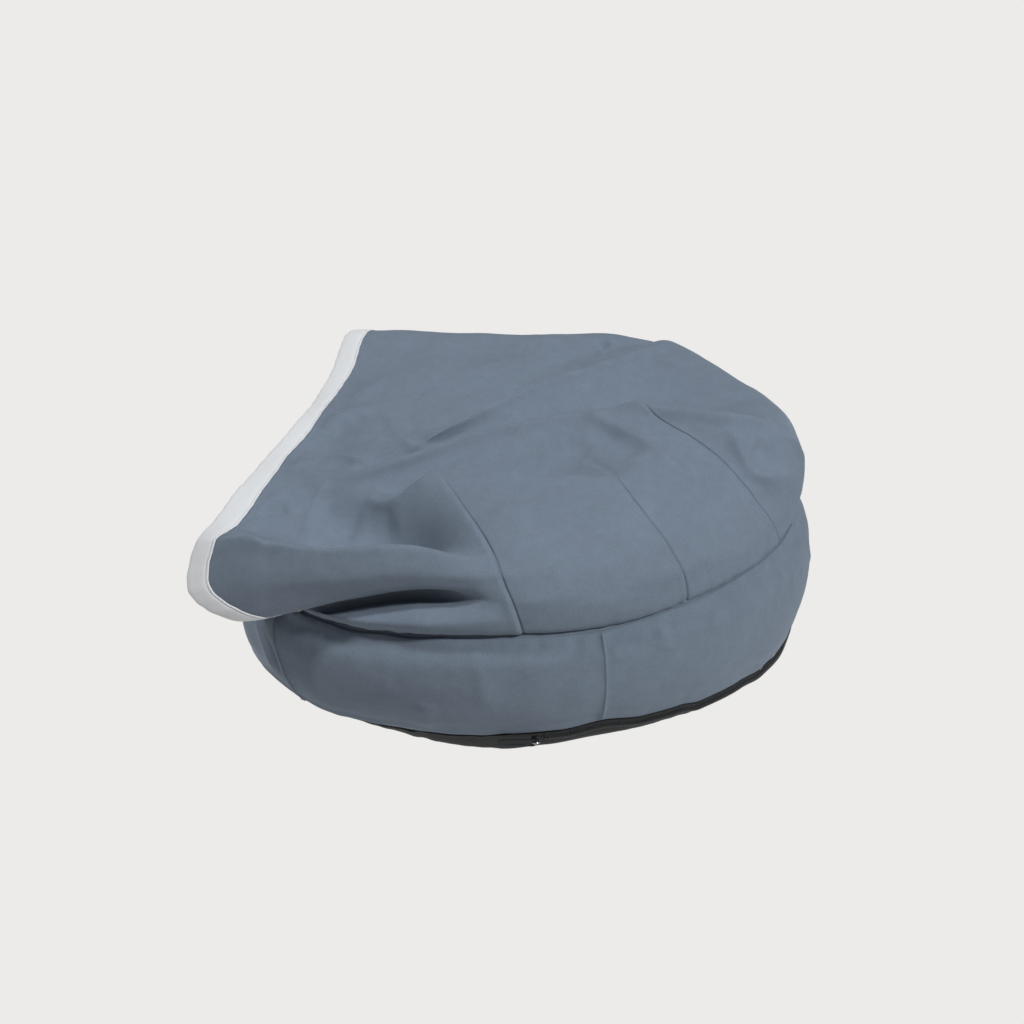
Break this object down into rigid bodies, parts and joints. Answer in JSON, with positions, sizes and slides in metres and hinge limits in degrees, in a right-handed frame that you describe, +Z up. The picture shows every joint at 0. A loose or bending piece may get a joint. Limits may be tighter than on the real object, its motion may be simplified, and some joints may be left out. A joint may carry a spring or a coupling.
{
  "type": "dog nest bed",
  "caption": "Round filled pet bed with a soft cloth hood that has sunk into folds over the pad, a bound mouth at one side and a zip along the bottom edge.",
  "frame": {"origin": "on the floor under the middle of the pad", "axes": "+Z up, the hood's mouth faces -Y, +X is the near side of the picture with the zip slider"},
  "size_m": [0.561, 0.5689, 0.2394],
  "materials": {
    "suede": "short-pile blue-grey suede cloth, matt",
    "trim": "off-white woven binding, matt",
    "bottom_cloth": "black woven bottom cloth, matt",
    "zip_tape": "black woven zip tape",
    "zip_teeth": "dark nylon coil",
    "zip_metal": "dark lacquered metal, satin"
  },
  "bodies": {
    "root": {"hood": "suede", "base_pad": "suede", "mouth_trim": "trim", "base_bottom": "bottom_cloth", "zip_tape": "zip_tape", "zip_teeth": "zip_teeth", "zip_slider": "zip_metal", "zip_pull": "zip_metal"}
  },
  "joints": []
}
